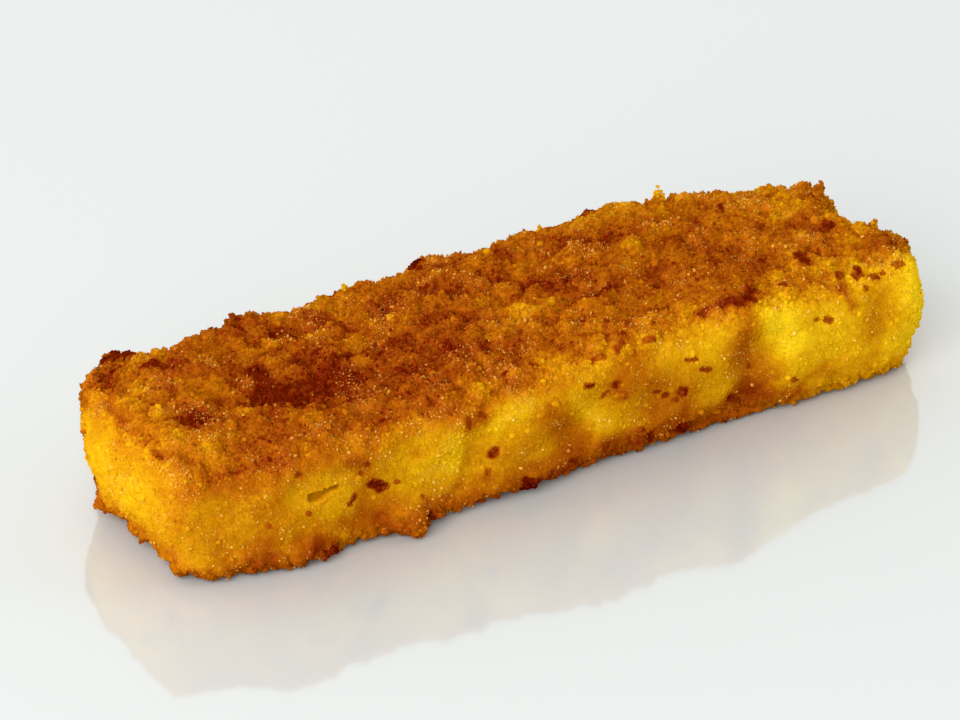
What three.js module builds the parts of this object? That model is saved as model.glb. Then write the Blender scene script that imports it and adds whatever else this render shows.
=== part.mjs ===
// A fried fish stick: a block of white fish in a closed crumb crust, one solid piece.
// Millimetres, +Z up. X runs along the stick, its front side faces -Y, and it lies on its flat
// underside. The origin is the middle of the underside.
//
// The surface is a grid of two parameters. One runs round the cross-section, a rectangle with
// rounded corners. The other runs along a profile from the middle of the left end face, round
// its edge, along the side, and in to the middle of the right end face. What frying and breading
// do to the block comes on top: it swells, it leans, a corner is worn off, and the crust has
// hollows, ridges and clumps of crumbs.
import * as THREE from 'three';

// Driving dimensions of the block.
const LENGTH = 89;
const WIDTH = 27.4;
const HEIGHT = 13.4;
const TOP_EDGE_RADIUS = 3.4;
const BOTTOM_EDGE_RADIUS = 2;
const END_EDGE_RADIUS = 3.8;

// How the whole block is warped. SWELL is the top's hump, highest a little right of the middle.
// FRONT_BELLY is how far the front side bows out, most at its top edge. LEAN is how far each side's
// top edge hangs out, and LEFT_END_SKEW how far the left end face is set back at its back edge.
const SWELL = { rise: 1.6, at: 12, spread: 27 };
const FRONT_BELLY = 1.5;
const LEAN = { front: 0.5, back: 0.3, left: 0.5, right: 0.3 };
const LEFT_END_SKEW = 1.3;

// Worn corners, seen from above. end: -1 left, 1 right. side: -1 front, 1 back. depth: how much of
// the width is gone at the end face. from: the distance from the middle where it starts.
const WORN_CORNERS = [
  { end: 1, side: 1, depth: 5.6, from: 22 },
  { end: 1, side: -1, depth: 0.8, from: 34 },
  { end: -1, side: 1, depth: 1.4, from: 28 },
  { end: -1, side: -1, depth: 1.6, from: 34 },
];

// Crumb clumps: noise of two sizes, each [size of a clump, height], fading out towards the underside.
const CLUMPS = [[6.5, 0.7], [3.2, 0.55]];
const CLUMPS_START = 3.5;

// Hollows (lift below 0) and ridges (above 0), as round hills along the surface's own normal.
// at: the middle, reach: how far it spreads along X, Y and Z.
const HILLS = [
  // front side: shallow hollows between plump places, a browned ridge, lobes at the foot
  { at: [21.8, -14, 7], reach: [2.5, 3, 4.8], lift: -1.3 },
  { at: [0.5, -14, 6], reach: [2.6, 3, 4], lift: -0.9 },
  { at: [9.5, -14, 6], reach: [2.2, 3, 3], lift: -0.6 },
  { at: [-11.5, -14, 7], reach: [1.8, 3, 3.4], lift: -0.6 },
  { at: [-24, -14, 6], reach: [2.2, 3, 3], lift: -0.5 },
  { at: [38, -14, 7], reach: [2.4, 3, 4], lift: -0.6 },
  { at: [-6.5, -14, 8.5], reach: [2.6, 3, 3], lift: 0.5 },
  { at: [-16, -14, 7.5], reach: [2.6, 3, 3], lift: 0.4 },
  { at: [27, -14, 8], reach: [2.4, 3, 4], lift: 0.6 },
  { at: [20.5, -14, 13.5], reach: [4.5, 2.5, 1.6], lift: 0.9 },
  { at: [-18.7, -14, 1.2], reach: [1.9, 2.5, 1.8], lift: 2.2 },
  { at: [-31, -13, 1.2], reach: [4, 2.5, 1.8], lift: 1.2 },
  { at: [19.5, -13.5, 2], reach: [6.4, 2.5, 2.6], lift: -1.6 },
  { at: [7, -13.5, 1.2], reach: [5.5, 2.5, 2], lift: -0.9 },
  { at: [-44, -8.2, 3.4], reach: [3, 3.4, 3], lift: -0.9 },
  { at: [32, -14, 1.4], reach: [4, 2.5, 1.6], lift: -0.3 },
  // top: a sunk burnt place, and low ground between the clumps
  { at: [-25.3, -3, 14], reach: [4.2, 2.8, 3], lift: -1.5 },
  { at: [-6, -4, 14], reach: [5, 3.5, 3], lift: -0.5 },
  { at: [9, 5, 14], reach: [4, 3, 3], lift: -0.5 },
  { at: [24, 1, 14], reach: [5, 4, 3], lift: -0.4 },
  { at: [6, -8, 15], reach: [4, 4, 3], lift: -0.3 },
  { at: [-33, 5, 14], reach: [6, 4, 3], lift: 0.5 },
  // the top's back edge
  { at: [-20, 13, 14], reach: [3, 3.5, 3.5], lift: 0.4 },
  { at: [-29, 13, 14], reach: [4, 3.5, 3.5], lift: -0.5 },
  { at: [-12.5, 13, 14], reach: [1.6, 3.5, 3.5], lift: 0.1 },
  { at: [-4.5, 13, 14], reach: [3.5, 4, 3.5], lift: -0.9 },
  { at: [5, 13, 14], reach: [5.5, 4, 3.5], lift: -1.3 },
  { at: [15, 13, 14], reach: [4, 4, 3.5], lift: -0.5 },
  { at: [25, 12, 14], reach: [3, 4, 3.5], lift: -0.6 },
  { at: [30.5, 11, 14], reach: [3, 4, 3.5], lift: -0.6 },
  { at: [36.5, 9, 14], reach: [3, 4, 3.5], lift: -0.5 },
  { at: [42, 8.5, 13.5], reach: [3, 3, 3], lift: -1 },
  // the top's corners and the ends
  { at: [-37.4, 12.6, 13.5], reach: [1.3, 1.5, 2], lift: 0.7 },
  { at: [-43.5, 9, 12.5], reach: [2.5, 3.4, 3.4], lift: -1.5 },
  { at: [41.4, 4.2, 13], reach: [2, 2, 2], lift: 0.4 },
  { at: [44.5, -8, 12.5], reach: [2, 2.4, 2.4], lift: 0.6 },
  { at: [44, -0.2, 14], reach: [3, 3.6, 3.4], lift: -2.7 },
  { at: [-45, -2, 7], reach: [3, 8, 4], lift: 0.6 },
  { at: [-41, -13, 14], reach: [6, 5, 5], lift: -1.5 },
  { at: [-43, -3, 1.5], reach: [3, 9, 2.5], lift: -0.5 },
  { at: [-43, 9.8, 3.2], reach: [3, 3.4, 3.6], lift: -1.9 },
  { at: [45, -6, 7], reach: [3, 6, 4], lift: 1.2 },
  { at: [44, -12, 7], reach: [3, 4, 4], lift: 1.1 },
  { at: [41, -13, 14], reach: [5, 4, 4], lift: -0.9 },
];

// Grid of the surface: steps on each stretch of the cross-section and of the profile.
const ARC_STEPS = 4;
const SIDE_STEPS = 7;
const TOP_STEPS = 18;
const UNDER_STEPS = 9;
const CAP_STEPS = 7;
const BODY_STEPS = 58;

// A number from 0 to 1 that looks random, for each point of a whole-number lattice.
function latticeValue(i, j, k) {
  const s = Math.sin(i * 12.9898 + j * 78.233 + k * 37.719) * 43758.5453;
  return s - Math.floor(s);
}

const smooth = (t) => t * t * (3 - 2 * t);
const smoothStep = (t) => smooth(THREE.MathUtils.clamp(t, 0, 1));

// Lattice values blended over a cell, from -1 to 1.
function noise(x, y, z) {
  const [i, j, k] = [Math.floor(x), Math.floor(y), Math.floor(z)];
  const [a, b, c] = [smooth(x - i), smooth(y - j), smooth(z - k)];
  const { lerp } = THREE.MathUtils;
  const row = (dj, dk) => lerp(latticeValue(i, j + dj, k + dk), latticeValue(i + 1, j + dj, k + dk), a);
  return 2 * lerp(lerp(row(0, 0), row(1, 0), b), lerp(row(0, 1), row(1, 1), b), c) - 1;
}

// The cross-section as a ring of points with their outward normals, from the underside's back corner
// round the back, the top, the front and the flat underside.
function crossSection() {
  const half = WIDTH / 2;
  const ring = [];
  const arc = (y, z, radius, from) => {
    for (let i = 0; i <= ARC_STEPS; i++) {
      const angle = from + (Math.PI / 2) * (i / ARC_STEPS);
      const normal = new THREE.Vector2(Math.cos(angle), Math.sin(angle));
      ring.push({ point: new THREE.Vector2(y, z).addScaledVector(normal, radius), normal });
    }
  };
  const straight = (steps, target) => {
    const { point: start, normal } = ring.at(-1);
    for (let i = 1; i < steps; i++) ring.push({ point: start.clone().lerp(target, i / steps), normal });
  };
  arc(half - BOTTOM_EDGE_RADIUS, BOTTOM_EDGE_RADIUS, BOTTOM_EDGE_RADIUS, -Math.PI / 2);
  straight(SIDE_STEPS, new THREE.Vector2(half, HEIGHT - TOP_EDGE_RADIUS));
  arc(half - TOP_EDGE_RADIUS, HEIGHT - TOP_EDGE_RADIUS, TOP_EDGE_RADIUS, 0);
  straight(TOP_STEPS, new THREE.Vector2(TOP_EDGE_RADIUS - half, HEIGHT));
  arc(TOP_EDGE_RADIUS - half, HEIGHT - TOP_EDGE_RADIUS, TOP_EDGE_RADIUS, Math.PI / 2);
  straight(SIDE_STEPS, new THREE.Vector2(-half, BOTTOM_EDGE_RADIUS));
  arc(BOTTOM_EDGE_RADIUS - half, BOTTOM_EDGE_RADIUS, BOTTOM_EDGE_RADIUS, Math.PI);
  straight(UNDER_STEPS, new THREE.Vector2(half - BOTTOM_EDGE_RADIUS, 0));
  return ring;
}

// The profile as rows of the grid. x: place along the stick. inset: how far the row is drawn in from the
// block's side. cap: share of the way from the end face's middle to its rounded edge. tilt: the
// normal's angle away from the side, towards the end.
function profile() {
  const rows = [];
  for (const end of [-1, 1]) {
    const face = { x: (end * LENGTH) / 2, inset: END_EDGE_RADIUS, tilt: (end * Math.PI) / 2 };
    for (let i = 1; i < CAP_STEPS; i++) rows.push({ ...face, cap: i / CAP_STEPS });
    for (let i = 0; i < ARC_STEPS; i++) {
      const angle = (Math.PI / 2) * (i / ARC_STEPS);
      rows.push({
        x: end * (LENGTH / 2 - END_EDGE_RADIUS * (1 - Math.cos(angle))),
        inset: END_EDGE_RADIUS * (1 - Math.sin(angle)),
        cap: 1,
        tilt: end * (Math.PI / 2 - angle),
      });
    }
    if (end > 0) break;
    const reach = LENGTH / 2 - END_EDGE_RADIUS;
    for (let i = 0; i <= BODY_STEPS; i++) {
      rows.push({ x: reach * ((2 * i) / BODY_STEPS - 1), inset: 0, cap: 1, tilt: 0 });
    }
  }
  const right = rows.splice(-(CAP_STEPS - 1 + ARC_STEPS));
  return [...rows, ...right.reverse()];
}

// The block's warps: swelling, worn corners and leaning sides.
function warp(p) {
  const [across, up] = [p.y / (WIDTH / 2), p.z / HEIGHT];
  const along = p.x / (LENGTH / 2);
  const left = Math.max(-along, 0);
  const highUp = 2 * up - 1;
  const front = Math.max(-across, 0);
  const back = Math.max(across, 0);
  const worn = WORN_CORNERS.reduce((sum, { end, side, depth, from }) => {
    const nearEnd = smoothStep((p.x * end - from) / (LENGTH / 2 - from));
    return sum - depth * nearEnd * side * Math.max(across * side, 0);
  }, 0);
  const swell = SWELL.rise * Math.exp(-(((p.x - SWELL.at) / SWELL.spread) ** 2));
  const skew = LEFT_END_SKEW * left ** 3 * (0.5 + across / 2);
  const belly = FRONT_BELLY * up * (1 - along ** 2);
  return new THREE.Vector3(
    p.x + highUp * (LEAN.right * Math.max(along, 0) - LEAN.left * left) + skew,
    p.y - front * (LEAN.front * highUp + belly) + back * LEAN.back * highUp + worn,
    p.z + up * swell,
  );
}

// How far the crust stands out at a point of the block.
function crustLift(p) {
  const fade = smoothStep(p.z / CLUMPS_START);
  const clumps = CLUMPS.reduce((sum, [size, height]) => {
    return sum + height * noise(p.x / size, p.y / size, p.z / size);
  }, 0);
  const hills = HILLS.reduce((sum, { at, reach, lift }) => {
    const away = new THREE.Vector3().fromArray(at).sub(p).divide(new THREE.Vector3().fromArray(reach));
    return sum + lift * Math.exp(-away.lengthSq());
  }, 0);
  return fade * clumps + hills;
}

// A point of the crust, from a row of the profile and a place on the cross-section. The lift fades out
// where the surface turns down, so that the underside stays flat, and nothing reaches below it.
function crustPoint(row, place) {
  const middle = new THREE.Vector2(0, HEIGHT / 2);
  const radial = place.point.clone().sub(middle);
  const share = row.cap * (1 - row.inset / radial.length());
  const section = middle.clone().addScaledVector(radial, share);
  const sideways = Math.cos(row.tilt);
  const normal = new THREE.Vector3(Math.sin(row.tilt), place.normal.x * sideways, place.normal.y * sideways);
  const p = warp(new THREE.Vector3(row.x, section.x, section.y));
  const turnedDown = smoothStep(-3 * normal.z - 2);
  p.addScaledVector(normal, crustLift(p) * (1 - turnedDown));
  p.z = Math.max(p.z, 0);
  return p;
}

// The closed surface: rings of points between two poles, one in the middle of each end face.
function crustGeometry() {
  const ring = crossSection();
  const rows = profile();
  const pole = (end) => {
    const p = warp(new THREE.Vector3((end * LENGTH) / 2, 0, HEIGHT / 2));
    return p.setX(p.x + end * crustLift(p));
  };
  const sides = rows.flatMap((row) => ring.map((place) => crustPoint(row, place)));
  const points = [pole(-1), ...sides, pole(1)];
  const index = [];
  const at = (i, j) => 1 + i * ring.length + (j % ring.length);
  const last = points.length - 1;
  for (let j = 0; j < ring.length; j++) {
    index.push(0, at(0, j + 1), at(0, j));
    for (let i = 0; i + 1 < rows.length; i++) {
      index.push(at(i, j), at(i, j + 1), at(i + 1, j));
      index.push(at(i, j + 1), at(i + 1, j + 1), at(i + 1, j));
    }
    index.push(last, at(rows.length - 1, j), at(rows.length - 1, j + 1));
  }
  const geometry = new THREE.BufferGeometry().setFromPoints(points);
  geometry.setIndex(index);
  return geometry;
}

// Puts the origin in the middle of the underside.
function centred(geometry) {
  geometry.computeBoundingBox();
  const middle = geometry.boundingBox.getCenter(new THREE.Vector3());
  geometry.translate(-middle.x, -middle.y, -geometry.boundingBox.min.z);
  geometry.computeVertexNormals();
  return geometry;
}

const crumbCrust = new THREE.MeshStandardMaterial({ color: 0xc98714, roughness: 0.6, metalness: 0 });

const fishStick = new THREE.Mesh(centred(crustGeometry()), crumbCrust);
fishStick.name = 'fish_stick';

const part = new THREE.Group();
part.add(fishStick);

export default part;
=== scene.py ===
"""Fish stick: a fried block of white fish in a closed crumb crust, on a pale studio table.

The file is laid out as a Blender add-on and is run as a script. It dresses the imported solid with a
relief of the crust and with the loose crumbs fried onto it. Shapes are worked out in millimetres and
turned into metres when a mesh is made.
"""

import itertools
import math
from types import SimpleNamespace
from typing import NamedTuple

import bpy
import numpy as np
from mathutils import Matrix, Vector


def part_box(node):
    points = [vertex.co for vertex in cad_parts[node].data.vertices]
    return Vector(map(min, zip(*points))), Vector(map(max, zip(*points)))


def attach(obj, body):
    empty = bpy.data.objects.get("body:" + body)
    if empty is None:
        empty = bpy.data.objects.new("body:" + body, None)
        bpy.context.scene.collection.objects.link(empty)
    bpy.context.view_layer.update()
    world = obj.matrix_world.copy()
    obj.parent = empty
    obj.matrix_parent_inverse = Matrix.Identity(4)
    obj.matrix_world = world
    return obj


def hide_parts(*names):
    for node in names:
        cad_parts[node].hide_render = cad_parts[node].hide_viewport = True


bl_info = {
    "name": "Fish Stick",
    "version": (1, 0, 0),
    "blender": (4, 5, 0),
    "location": "3D View > Sidebar > Fish Stick",
    "description": "Builds a fried fish stick in a crumb crust, and a small studio round it",
    "category": "Object",
}

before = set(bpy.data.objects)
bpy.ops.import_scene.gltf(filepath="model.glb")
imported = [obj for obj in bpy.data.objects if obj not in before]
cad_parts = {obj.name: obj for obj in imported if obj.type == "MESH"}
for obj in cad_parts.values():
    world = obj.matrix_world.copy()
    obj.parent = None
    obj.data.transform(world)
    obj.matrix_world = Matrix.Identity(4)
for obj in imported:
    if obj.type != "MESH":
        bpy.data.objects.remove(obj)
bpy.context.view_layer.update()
NODE = "fish_stick"
BODY = "root"
MM = 0.001

# ---------------------------------------------------------------------------------------------
# The block under the crust, in millimetres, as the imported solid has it.
# ---------------------------------------------------------------------------------------------
LENGTH, WIDTH, HEIGHT = 89.0, 27.4, 13.4
TOP_EDGE_RADIUS, BOTTOM_EDGE_RADIUS, END_EDGE_RADIUS = 3.4, 2.0, 3.8
SWELL_RISE, SWELL_AT, SWELL_SPREAD = 1.6, 12.0, 27.0
FRONT_BELLY = 1.5
LEAN_FRONT, LEAN_BACK, LEAN_LEFT, LEAN_RIGHT = 0.5, 0.3, 0.5, 0.3
LEFT_END_SKEW = 1.3

# Worn corners, seen from above: end (-1 left), side (-1 front), depth at the end face, start.
WORN_CORNERS = [(1, 1, 5.6, 22), (1, -1, 0.8, 34), (-1, 1, 1.4, 28), (-1, -1, 1.6, 34)]

# Crumb clumps are noise of these sizes and heights. They are flat on the table and fully out at this
# height above it.
CLUMPS = [(6.5, 0.7), (3.2, 0.55)]
CLUMPS_FULL_AT = 3.5

# Hollows and ridges: middle, reach along X, Y and Z, and lift along the surface's normal.
HILLS = [
    # front side: shallow hollows between plump places, a browned ridge, lobes at the foot
    ((21.8, -14, 7), (2.5, 3, 4.8), -1.3),
    ((0.5, -14, 6), (2.6, 3, 4), -0.9),
    ((9.5, -14, 6), (2.2, 3, 3), -0.6),
    ((-11.5, -14, 7), (1.8, 3, 3.4), -0.6),
    ((-24, -14, 6), (2.2, 3, 3), -0.5),
    ((38, -14, 7), (2.4, 3, 4), -0.6),
    ((-6.5, -14, 8.5), (2.6, 3, 3), 0.5),
    ((-16, -14, 7.5), (2.6, 3, 3), 0.4),
    ((27, -14, 8), (2.4, 3, 4), 0.6),
    ((20.5, -14, 13.5), (4.5, 2.5, 1.6), 0.9),
    ((-18.7, -14, 1.2), (1.9, 2.5, 1.8), 2.2),
    ((-31, -13, 1.2), (4, 2.5, 1.8), 1.2),
    ((19.5, -13.5, 2), (6.4, 2.5, 2.6), -1.6),
    ((7, -13.5, 1.2), (5.5, 2.5, 2), -0.9),
    ((-44, -8.2, 3.4), (3, 3.4, 3), -0.9),
    ((32, -14, 1.4), (4, 2.5, 1.6), -0.3),
    # top: a sunk burnt place, and low ground between the clumps
    ((-25.3, -3, 14), (4.2, 2.8, 3), -1.5),
    ((-6, -4, 14), (5, 3.5, 3), -0.5),
    ((9, 5, 14), (4, 3, 3), -0.5),
    ((24, 1, 14), (5, 4, 3), -0.4),
    ((6, -8, 15), (4, 4, 3), -0.3),
    ((-33, 5, 14), (6, 4, 3), 0.5),
    # the top's back edge
    ((-20, 13, 14), (3, 3.5, 3.5), 0.4),
    ((-29, 13, 14), (4, 3.5, 3.5), -0.5),
    ((-12.5, 13, 14), (1.6, 3.5, 3.5), 0.1),
    ((-4.5, 13, 14), (3.5, 4, 3.5), -0.9),
    ((5, 13, 14), (5.5, 4, 3.5), -1.3),
    ((15, 13, 14), (4, 4, 3.5), -0.5),
    ((25, 12, 14), (3, 4, 3.5), -0.6),
    ((30.5, 11, 14), (3, 4, 3.5), -0.6),
    ((36.5, 9, 14), (3, 4, 3.5), -0.5),
    ((42, 8.5, 13.5), (3, 3, 3), -1.0),
    # the top's corners and the ends
    ((-37.4, 12.6, 13.5), (1.3, 1.5, 2), 0.7),
    ((-43.5, 9, 12.5), (2.5, 3.4, 3.4), -1.5),
    ((41.4, 4.2, 13), (2, 2, 2), 0.4),
    ((44.5, -8, 12.5), (2, 2.4, 2.4), 0.6),
    ((44, -0.2, 14), (3, 3.6, 3.4), -2.7),
    ((-45, -2, 7), (3, 8, 4), 0.6),
    ((-41, -13, 14), (6, 5, 5), -1.5),
    ((-43, -3, 1.5), (3, 9, 2.5), -0.5),
    ((-43, 9.8, 3.2), (3, 3.4, 3.6), -1.9),
    ((45, -6, 7), (3, 6, 4), 1.2),
    ((44, -12, 7), (3, 4, 4), 1.1),
    ((41, -13, 14), (5, 4, 4), -0.9),
]

# The crust's mesh: columns on the back, on the top and front, and on the underside, rows along the
# stick, and points on each rounded edge.
BACK_COLUMNS, TOP_AND_FRONT_COLUMNS, UNDER_COLUMNS, CRUST_ROWS = 26, 170, 16, 414
EDGE_STEPS = 12
UNDERSIDE_GAP = 0.2  # the crust stays this far above the table, and crumbs fill the gap

# The crust's relief, in millimetres: the heaps of crumbs on the top, then the crumbs themselves.
HEAP_SIZE, HEAP_HEIGHT = 2.4, 0.8
LUMP_SIZE, LUMP_HEIGHT = 1.2, 0.6
GRAIN_SIZE, GRAIN_HEIGHT = 0.65, 0.24
SIDE_RELIEF = 0.3  # how much of the lumps and grains shows on the sides, which are smoother
RELIEF_SUNK = 0.8  # how far the relief's low places lie under the solid's surface
PRESSED_ABOVE = 15.5  # half of what rises above this height was pressed flat against the pan

# A slit in the front side, where steam came out: its blunt end, its pointed end, the half widths
# there, and its depth.
SLIT_FROM, SLIT_TO = (-30.3, 8.05), (-27.6, 8.5)
SLIT_HALF_WIDTHS, SLIT_DEPTH = (0.6, 0.3), 0.34

# The mesh has more columns between these heights on the front side and more rows between these
# places along X, where the slit is.
SLIT_COLUMNS_BETWEEN, SLIT_COLUMNS = (9.6, 7.0), 14
SLIT_ROWS_BETWEEN, SLIT_ROWS = (-31.4, -27.0), 24

# Where the crust turns brown towards the top, at places along X: the height on the front side,
# which goes on over the top as the way back from the line Y = FRONT_EDGE. The back has one height.
FRONT_BROWNING = [
    (-45, 12), (-41, 12.6), (-36, 12), (-30, 12.5), (-24, 11.5), (-19, 13), (-14, 11.8), (-8, 14),
    (-2, 15), (5, 15.4), (12, 15.6), (15, 16), (20, 15), (24, 16.4), (30, 15.8), (36, 16), (42, 15.6),
]
FRONT_EDGE, BACK_BROWNING = -13, 12.0

# The ends turn brown at these heights, which go on over the top as the way in from END_EDGE. The
# rims over the ends have this share of the top's browning.
END_EDGE, LEFT_BROWNING, RIGHT_BROWNING = 43.5, 12.5, 12.1
LEFT_RIM, RIGHT_RIM = 0.66, 0.8

# The width of the change from gold to brown, and how brown the sides, the top and the foot are.
BROWNING_WIDTH = 6.5
SIDE_BROWNING, TOP_BROWNING, FOOT_BROWNING, MOST_BROWNING = 0.28, 0.78, 0.37, 0.9

# Marks lie on a side of the block. On the front their places are X and Z, on the top X and Y, and
# on the left end Y and Z. A mark is a straight from one place to another with a radius round it:
# five numbers. These are browner or paler than what is round them, by the sixth number.
TINT_AND_SHADE_MARKS = {
    "front": [
        # hollows, painted browner as painted shade, and the browned band under the left top edge
        (20.1, 11.5, 22.6, 4.4, 2.0, 0.36), (31, 9.5, 38, 8, 3.0, 0.07),
        (-3.2, 9.8, 0.8, 4.2, 2.0, 0.27), (6, 12, 13.5, 6, 3.0, 0.18), (8.5, 9.6, 13.5, 5.6, 1.5, 0.08),
        (-14, 10.4, -13.6, 6.6, 1.2, -0.1), (-12, 11.2, -11, 11.8, 1.1, 0.26),
        (-39, 12, -39, 6, 1.6, 0.07), (-38.5, 12.6, -34, 13.4, 1.3, 0.24), (-34, 9, -31, 4, 3.5, 0.13),
        (-11, 6.5, -5.5, 6, 2.2, 0.12), (-8.6, 13.4, -3.6, 12.9, 1.3, 0.2),
        (-1.8, 12.8, -1.2, 12.4, 1.1, 0.16), (27, 11.6, 28, 11, 1.3, 0.1), (-41, 8, -40, 3, 2.0, 0.1),
        (24, 8, 25, 4.5, 1.4, 0.2), (-21.2, 5, -20.4, 4.4, 1.2, 0.14), (10, 6, 10.6, 3.4, 1.2, 0.18),
        (-35.5, 8, -35, 5, 1.6, 0.12), (-26.4, 11.2, -24.4, 10.3, 0.8, 0.22),
        (-24.5, 4.5, -24, 8, 1.6, 0.22), (37.5, 10.8, 37.5, 7.5, 2.0, 0.16),
        (33.4, 12.6, 34.3, 10.9, 0.5, 0.3), (31, 4.4, 32, 3.8, 1.1, 0.24),
        (26, 7, 27.5, 7.6, 0.7, 0.12), (4.6, 10.8, 5.4, 9.2, 0.8, 0.28), (-18.8, 9.6, -18, 9, 0.6, 0.2),
        # foot
        (-30.4, 2.2, -28.6, 1.4, 1.3, 0.14), (-35.8, 2, -35, 1.5, 0.9, 0.1),
        (-22, 3, -21, 1, 1.3, 0.22), (-16.3, 1.3, -15.5, 1, 1.0, 0.16), (4.2, 3.6, 4.6, 2.8, 0.8, 0.2),
        (-3.8, 2.2, 0.4, 2, 1.4, 0.12), (12, 3.4, 14, 2.4, 1.2, 0.12), (23, 2.6, 28, 2, 1.5, 0.12),
        (-33.4, 2.8, -32.4, 2.4, 1.0, -0.2), (-43, 3, -40, 2, 1.6, -0.15), (41, 3, 45, 3, 2.4, -0.2),
        (-26, 1.2, -22, 1, 1.6, -0.15), (31, 2.2, 38, 2, 1.6, -0.14),
        # yellow lobes, painted paler as painted light on the plump places
        (-31.5, 8.6, -28, 7.4, 2.2, -0.08), (-17.5, 8, -14.5, 7, 1.8, -0.12),
        (-16.5, 11.5, -15, 10.5, 1.3, -0.1), (-9, 10.5, -6, 11.4, 1.8, -0.14),
        (-3.4, 11.8, -1, 11.5, 1.3, -0.1), (0.6, 9.4, 4, 6.2, 1.3, -0.14),
        (10.5, 12, 16.5, 12, 1.7, -0.1), (25.5, 13, 26, 9, 2.0, -0.18),
        (28.5, 9.5, 33, 8.5, 2.2, -0.08), (43, 10, 44, 6, 2.2, -0.2), (22.8, 13.4, 23, 12, 1.2, -0.2),
    ],
    "top": [
        # the pit and its arms, and browner ground
        (-26.8, -2.8, -21.6, -3.8, 2.1, 0.62), (-27.4, 0.6, -27, 2.4, 1.1, 0.36),
        (-20.2, 1, -19.8, -2, 0.9, 0.12), (-23.4, 1.2, -21.6, 3.6, 0.9, 0.18),
        (-37, -3, -36.4, -5.2, 1.2, 0.3), (-36, -8, -34.4, -8.6, 1.4, -0.13),
        (-34, 8, -33, 9, 1.6, 0.08), (-39.2, 8.6, -34, 7.2, 1.3, 0.22), (-36.4, 6, -35, 0.6, 1.4, 0.16),
        (-39, 11, -37, 11.6, 1.4, 0.2), (-19, -5, -16, -10, 2.2, 0.08),
        (-17.4, 8.4, -12.6, 3, 2.2, 0.25), (-12.4, 8.8, -8.8, 4.4, 1.3, 0.16),
        (-20.2, 7.8, -18.2, 0.4, 1.5, 0.22), (-17.6, 6.2, -16.6, 7, 1.0, 0.1),
        (-26, -5.5, -23, -8, 1.6, 0.06), (-8.6, -3.6, -8.2, -5.6, 1.2, 0.14),
        (-7, 1.8, -6.6, 1.4, 0.9, 0.14), (-6, -6.4, -5.8, -7.2, 0.8, 0.16),
        (2.6, 4.4, 3.2, 3.4, 0.9, 0.16), (5.2, 1.4, 5.8, 0.2, 1.2, 0.26),
        (9.6, -4.4, 11.4, -4.4, 0.8, 0.2), (8.8, -0.9, 9.8, -1.3, 1.0, 0.14),
        (6.3, 9, 6, 7.4, 0.9, 0.14), (9, 5.6, 9.1, 3.8, 0.5, 0.14), (14, 4.6, 21, 4.4, 1.0, 0.1),
        (24.6, 4.6, 28, 5, 1.6, 0.06), (22, -5, 24.4, -3.4, 1.6, 0.08),
        (37, -2.6, 39.6, -3.6, 1.5, 0.14), (41, -8.8, 42.4, -9.6, 1.3, 0.16),
        (25, -13.2, 32.6, -12.6, 1.5, 0.3), (39, -10.8, 40.4, -11.2, 1.2, 0.2),
        (12.6, -13, 15.6, -13.6, 1.2, 0.22), (1, -13, 4.5, -12.8, 1.5, 0.22),
        (7.2, -13.9, 10, -13.3, 1.4, 0.2), (21.6, -13.6, 23.6, -13.4, 1.1, 0.14),
        (6.6, 8, 7.4, 7.6, 1.1, 0.14), (12.8, 3, 13.4, 2.6, 1.2, 0.14), (34, 4.8, 36.4, 1.4, 1.6, 0.1),
        (-18.6, -13.2, -14, -12.8, 1.2, 0.15), (-29.6, -6.2, -28, -6.2, 1.0, 0.2),
        (-21, -7.2, -20, -7.6, 1.2, 0.12), (15.6, -13.2, 20, -13.7, 0.8, 0.34),
        (20, -13.6, 22.6, -12.6, 1.0, 0.34), (22.6, -12.4, 24.6, -10, 0.7, 0.22),
        # golden heaps
        (-39.4, 4.6, -38.6, 2.6, 1.6, -0.06), (-30.2, 5.8, -28.6, 8, 1.3, -0.2),
        (11, 9.8, 22, 9.8, 2.2, -0.16), (9.6, 3, 10, 2, 1.2, -0.14), (14.6, -1, 16, -1.4, 1.4, -0.12),
        (-8.4, -9.8, -7.4, -9.8, 1.3, -0.15), (-13.4, -4, -12.6, -3.8, 1.2, -0.13),
        (-15.8, 10.8, -14.8, 10.6, 1.2, -0.13), (-8.4, -1, -7.6, -1, 1.2, -0.12),
        (-6, 9.8, -4.4, 10, 1.2, -0.12), (27.6, -9.8, 29, -9.6, 1.2, -0.16),
        (11.6, -8, 20, -10.2, 1.4, -0.13), (25, 10.8, 29, 9.4, 1.6, -0.12),
        (1.6, -10.6, 4, -10.2, 1.4, -0.1), (16, 3, 20.6, 0.2, 2.2, -0.14),
        (-34, 3.6, -31.5, 2.6, 1.2, -0.14), (-32.6, -2.4, -31.4, -3.8, 1.6, -0.13),
        (-29.2, -8.6, -26.8, -9.2, 1.2, -0.16), (-24.6, 7.2, -22.4, 6.6, 0.9, -0.1),
        (-1.8, -4.8, -0.2, -4.2, 1.3, -0.24), (0.6, 0, 1.6, -2.4, 1.5, -0.22),
        (2.6, -3, 4.2, -2.6, 1.0, -0.14), (6.4, 5.2, 7.6, 4.4, 1.2, -0.08),
        (11, 4.6, 12.4, 3, 1.0, -0.1), (21.6, 3.2, 24.4, 3.3, 0.8, -0.13),
        (20.6, -2.8, 23, -3, 1.0, -0.12), (33, 5.6, 33.6, 5.4, 0.7, -0.12),
        (5, -6.4, 9, -6, 1.4, -0.06),
    ],
    "left": [
        (5, 12.4, -3, 12.4, 0.9, 0.08), (-11, 9, -11, 5, 1.8, 0.1), (11.6, 6.6, 8.4, 8.2, 0.35, 0.45),
        (4, 7, -6, 9, 3.5, -0.06),
    ],
}

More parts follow.
